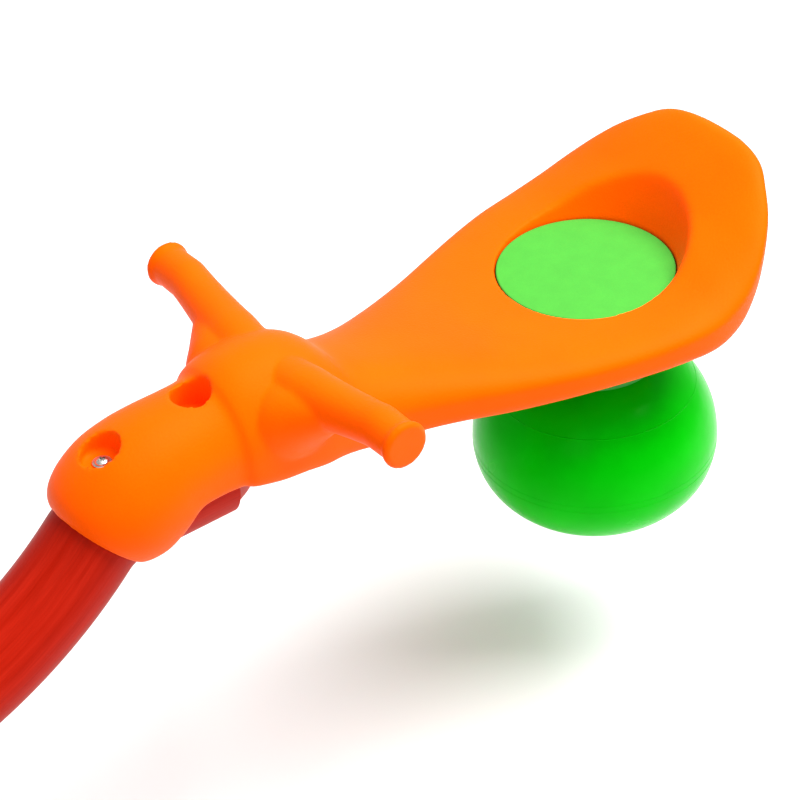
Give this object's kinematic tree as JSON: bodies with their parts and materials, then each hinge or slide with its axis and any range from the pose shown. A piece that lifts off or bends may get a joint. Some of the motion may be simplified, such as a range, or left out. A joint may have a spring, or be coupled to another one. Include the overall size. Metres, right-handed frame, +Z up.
{
  "type": "seesaw",
  "caption": "Swivelling playground seesaw with moulded bucket seats on a bent tube beam, side handles, ball bumpers under the seats and a splayed tube base.",
  "frame": {"origin": "on the ground under the middle of the pivot", "axes": "+X along the level beam towards seat A, +Y across the beam, +Z up"},
  "size_m": [2.004, 0.5784, 0.4945],
  "materials": {
    "seat_orange": "satin fine grain",
    "pad_green": "matt grained foam",
    "ball_green": "gloss",
    "socket_green": "satin",
    "tube_red": "satin powder coat",
    "plug_red": "satin",
    "zinc_steel": "zinc plated",
    "nylon_white": "matt",
    "rubber_black": "matt",
    "cap_black": "satin",
    "valve_white": "satin"
  },
  "bodies": {
    "base": {"base_post": "tube_red", "leg_1": "tube_red", "leg_2": "tube_red", "leg_3": "tube_red", "leg_4": "tube_red", "foot_1": "rubber_black", "foot_2": "rubber_black", "foot_3": "rubber_black", "foot_4": "rubber_black", "leg_bolt_1": "zinc_steel", "leg_bolt_2": "zinc_steel", "leg_bolt_3": "zinc_steel", "leg_bolt_4": "zinc_steel", "post_bush_upper": "nylon_white", "post_bush_lower": "nylon_white"},
    "swivel": {"swivel_yoke": "tube_red", "retaining_washer": "zinc_steel", "retaining_bolt": "zinc_steel", "rubber_stop_1": "rubber_black", "rubber_stop_2": "rubber_black", "axle": "zinc_steel", "axle_nut": "zinc_steel", "axle_cap_1": "cap_black", "axle_cap_2": "cap_black"},
    "beam": {"centre_bracket": "tube_red", "sleeve_bolt_1": "zinc_steel", "sleeve_bolt_2": "zinc_steel", "sleeve_bolt_3": "zinc_steel", "sleeve_bolt_4": "zinc_steel", "sleeve_nut_1": "zinc_steel", "sleeve_nut_2": "zinc_steel", "sleeve_nut_3": "zinc_steel", "sleeve_nut_4": "zinc_steel", "axle_bush_1": "nylon_white", "axle_bush_2": "nylon_white", "seat_shell_a": "seat_orange", "seat_pad_a": "pad_green", "beam_tube_a": "tube_red", "tube_plug_a": "plug_red", "ball_a": "ball_green", "ball_socket_a": "socket_green", "ball_stud_a": "zinc_steel", "ball_valve_a": "valve_white", "neck_screw_front_a": "zinc_steel", "neck_screw_rear_a": "zinc_steel", "seat_shell_b": "seat_orange", "seat_pad_b": "pad_green", "beam_tube_b": "tube_red", "tube_plug_b": "plug_red", "ball_b": "ball_green", "ball_socket_b": "socket_green", "ball_stud_b": "zinc_steel", "ball_valve_b": "valve_white", "neck_screw_front_b": "zinc_steel", "neck_screw_rear_b": "zinc_steel"}
  },
  "joints": [
    {"name": "spin", "type": "hinge", "parent": "base", "child": "swivel", "pos_m": [0, 0, 0.205], "axis": [0, 0, 1], "continuous": true},
    {"name": "rock", "type": "hinge", "parent": "swivel", "child": "beam", "pos_m": [0, 0, 0.34952], "axis": [0, 1, 0], "range_deg": [-10.3, 10.3]}
  ]
}
